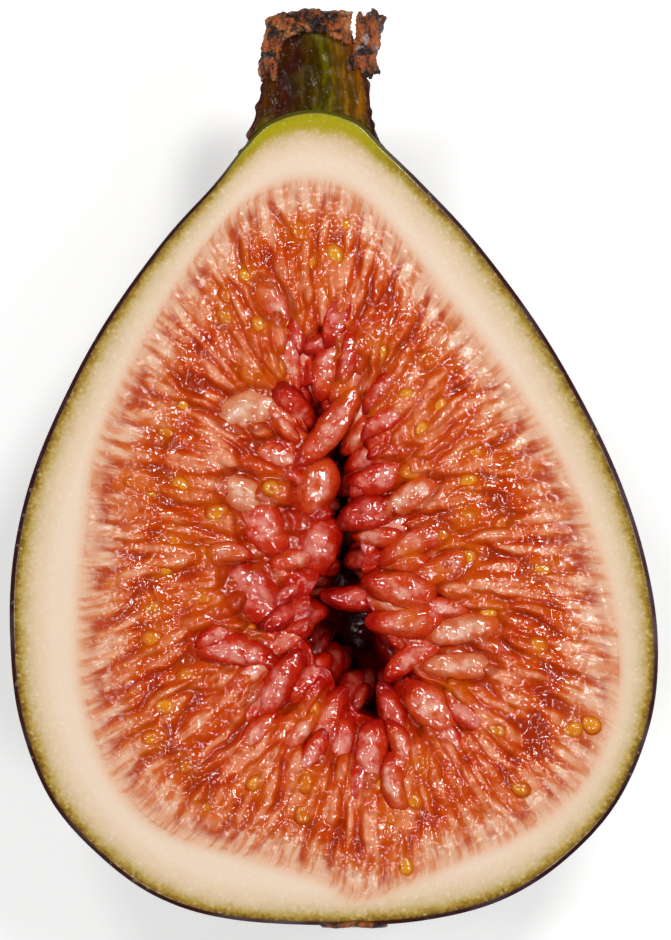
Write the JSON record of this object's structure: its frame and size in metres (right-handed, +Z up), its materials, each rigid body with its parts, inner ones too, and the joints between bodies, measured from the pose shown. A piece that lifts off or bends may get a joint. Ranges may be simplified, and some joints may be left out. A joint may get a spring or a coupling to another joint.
{
  "type": "half of a fresh fig",
  "caption": "Half of a ripe fresh fig, cut lengthwise and lying on its skin, with pale flesh round a red bed of florets and seeds and a short dry stalk.",
  "frame": {"origin": "on the flat spot of the skin that the half rests on, below its weight", "axes": "+Z up, out of the cut face; +Y along the fruit from the eye to the stalk; +X to the right, seen from above with the stalk at the top"},
  "size_m": [0.048, 0.0686, 0.0235],
  "materials": {
    "wall_flesh": "moist cream flesh inside, thin dark purple-brown skin with a waxy bloom outside",
    "floret_pulp": "wet, glossy red and pink florets with golden seeds",
    "stalk": "moist olive cut face with a purple-brown rind",
    "dry_scale": "dry, crumpled rusty brown"
  },
  "bodies": {
    "root": {"fruit_wall": "wall_flesh", "floret_pulp": "floret_pulp", "stalk": "stalk", "dry_scale_left": "dry_scale", "dry_scale_back": "dry_scale", "dry_scale_right": "dry_scale", "stalk_end_crust": "dry_scale"}
  },
  "joints": []
}
